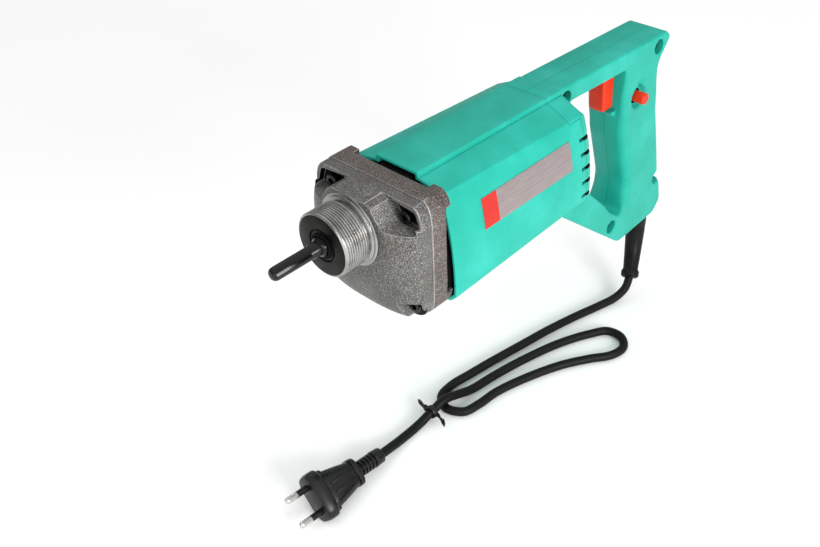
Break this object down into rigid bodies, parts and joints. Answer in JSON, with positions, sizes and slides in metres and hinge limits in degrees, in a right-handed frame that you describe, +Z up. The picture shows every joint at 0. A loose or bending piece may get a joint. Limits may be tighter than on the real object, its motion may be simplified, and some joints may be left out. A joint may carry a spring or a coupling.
{
  "type": "concrete vibrator drive unit",
  "caption": "Hand-held electric drive unit for a concrete vibrator: boxed motor case, cast front head with threaded nose and spindle, D handle with trigger, tied mains lead.",
  "frame": {"origin": "centre of the D handle's grip, on the plane where the two handle halves meet", "axes": "+X from the threaded nose towards the handle, parallel to the spindle; +Z up, through the handle's top bar; +Y towards the tool's right-hand side when the nose points to -X"},
  "size_m": [0.4019, 0.1063, 0.2496],
  "materials": {
    "teal_plastic": "moulded glass-filled nylon with a fine satin grain",
    "cast_head": "sand-blasted die casting, grainy grey-brown",
    "nose_steel": "turned bright steel with a machined thread",
    "black_steel": "black oxide, semi-gloss, lightly oiled",
    "gear_steel": "ground steel",
    "bearing_steel": "polished bearing steel",
    "lamination_steel": "stacked dark laminations",
    "copper": "bright copper segments",
    "winding_copper": "varnished copper wire",
    "brass": "pressed brass",
    "carbon": "pressed carbon",
    "screw_steel": "dark phosphated steel",
    "black_plastic": "moulded black plastic",
    "red_plastic": "moulded orange-red plastic",
    "silver_foil": "brushed silver foil with a red end",
    "cord_rubber": "satin black rubber sheath",
    "tie_plastic": "black plastic-covered wire tie",
    "plug_rubber": "moulded black rubber with a slight gloss",
    "pin_nickel": "nickel-plated brass pins"
  },
  "bodies": {
    "case": {"motor_housing": "teal_plastic", "handle_left": "teal_plastic", "handle_right": "teal_plastic", "front_head": "cast_head", "bearing_plate": "cast_head", "air_baffle": "black_plastic", "threaded_nose": "nose_steel", "spindle_front_bearing": "bearing_steel", "spindle_rear_bearing": "bearing_steel", "armature_front_bearing": "bearing_steel", "armature_rear_bearing": "bearing_steel", "stator_core": "lamination_steel", "field_coil_top": "winding_copper", "field_coil_bottom": "winding_copper", "brush_holder_left": "brass", "brush_holder_right": "brass", "brush_left": "carbon", "brush_right": "carbon", "head_screw_1": "black_steel", "head_screw_2": "black_steel", "head_screw_3": "black_steel", "head_screw_4": "black_steel", "handle_screw_1": "screw_steel", "handle_screw_2": "screw_steel", "handle_screw_3": "screw_steel", "handle_screw_4": "screw_steel", "handle_screw_5": "screw_steel", "switch_body": "black_plastic", "nameplate": "silver_foil", "cord_clamp": "black_plastic", "cord_boot": "cord_rubber", "cord_lead": "cord_rubber", "cord_tie": "tie_plastic", "plug_body": "plug_rubber", "plug_pin_1": "pin_nickel", "plug_pin_2": "pin_nickel"},
    "armature": {"armature_shaft": "gear_steel", "armature_core": "lamination_steel", "commutator": "copper", "cooling_fan": "black_plastic"},
    "spindle": {"drive_spindle": "black_steel", "spindle_gear": "gear_steel"},
    "trigger": {"trigger": "red_plastic"},
    "lock_button": {"lock_button": "red_plastic"}
  },
  "joints": [
    {"name": "armature_spin", "type": "hinge", "parent": "case", "child": "armature", "pos_m": [-0.197, 0, 0.043], "axis": [1, 0, 0], "continuous": true},
    {"name": "spindle_spin", "type": "hinge", "parent": "case", "child": "spindle", "pos_m": [-0.312, 0, 0.06], "axis": [1, 0, 0], "continuous": true},
    {"name": "trigger_pull", "type": "slide", "parent": "case", "child": "trigger", "axis": [1, 0, 0], "range_m": [0, 0.006], "stiffness_N_per_m": 600, "springref_m": -0.003},
    {"name": "lock_button_press", "type": "slide", "parent": "case", "child": "lock_button", "axis": [0, 1, 0], "range_m": [0, 0.003], "stiffness_N_per_m": 400, "springref_m": -0.002}
  ],
  "couplings": [
    {"joint": "spindle_spin", "follows": "armature_spin", "ratio": -0.27273}
  ]
}
